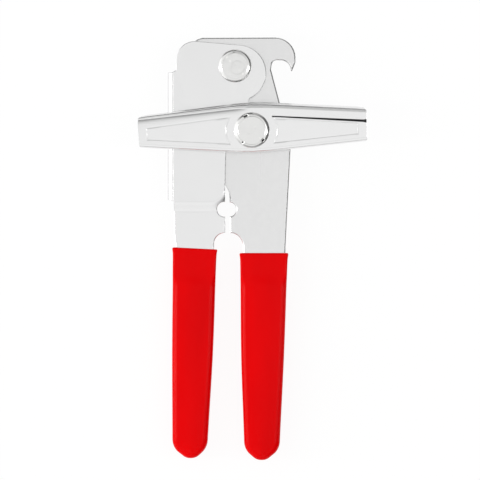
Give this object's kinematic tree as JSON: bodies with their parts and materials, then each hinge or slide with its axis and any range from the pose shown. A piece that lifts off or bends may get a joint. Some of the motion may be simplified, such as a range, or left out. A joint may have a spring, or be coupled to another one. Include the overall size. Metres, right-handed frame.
{
  "type": "manual can opener",
  "caption": "Two-handled gear-driven can opener with a butterfly turn key, feed wheel, round cutter, bottle hook and red dipped grips.",
  "frame": {"origin": "on the drive shaft axis, at the shaft's rear end", "axes": "+Z along the drive shaft toward the turn key, +Y from the grips to the bottle hook, +X to the right seen from the key"},
  "size_m": [0.096, 0.1778, 0.0241],
  "materials": {
    "front_plate": "bright nickel-chrome plate over rolled sheet, faint grain",
    "back_plate": "bright nickel-chrome plate over rolled sheet, faint grain",
    "turn_key": "bright plated pressed sheet with plain sunk panels",
    "rivet": "plated, turned and staked head",
    "inner_steel": "plated turned steel",
    "gear_steel": "hardened blanked and broached steel",
    "cutter_blade": "hardened, ground bevel",
    "grip_vinyl": "glossy dipped vinyl"
  },
  "bodies": {
    "right_arm": {"right_handle": "back_plate", "right_grip": "grip_vinyl", "pivot_rivet": "rivet", "pivot_spacer_washer": "inner_steel", "pivot_tail_washer": "inner_steel", "shaft_bushing": "inner_steel"},
    "left_arm": {"left_handle": "front_plate", "left_grip": "grip_vinyl", "cutter_stud": "rivet", "cutter_spacer": "inner_steel"},
    "key_train": {"turn_key": "turn_key", "drive_shaft": "rivet", "key_collar": "inner_steel", "key_washer": "inner_steel", "gear_thrust_washer": "inner_steel", "drive_gear": "gear_steel", "feed_wheel": "gear_steel", "shaft_end_washer": "inner_steel"},
    "cutter_train": {"cutter_gear": "gear_steel", "cutter_hub": "inner_steel", "cutter_wheel": "cutter_blade", "cutter_end_washer": "inner_steel"}
  },
  "joints": [
    {"name": "handle_pivot", "type": "hinge", "parent": "right_arm", "child": "left_arm", "pos_m": [-0.007, 0.0271, 0.0126], "axis": [0, 0, -1], "range_deg": [-0.8, 35]},
    {"name": "key_turn", "type": "hinge", "parent": "right_arm", "child": "key_train", "pos_m": [0, 0, 0.0116], "axis": [0, 0, 1], "continuous": true},
    {"name": "cutter_spin", "type": "hinge", "parent": "left_arm", "child": "cutter_train", "pos_m": [-0.0201, 0, 0.0075], "axis": [0, 0, 1], "continuous": true}
  ],
  "couplings": [
    {"joint": "cutter_spin", "follows": "key_turn", "ratio": -0.73333}
  ]
}
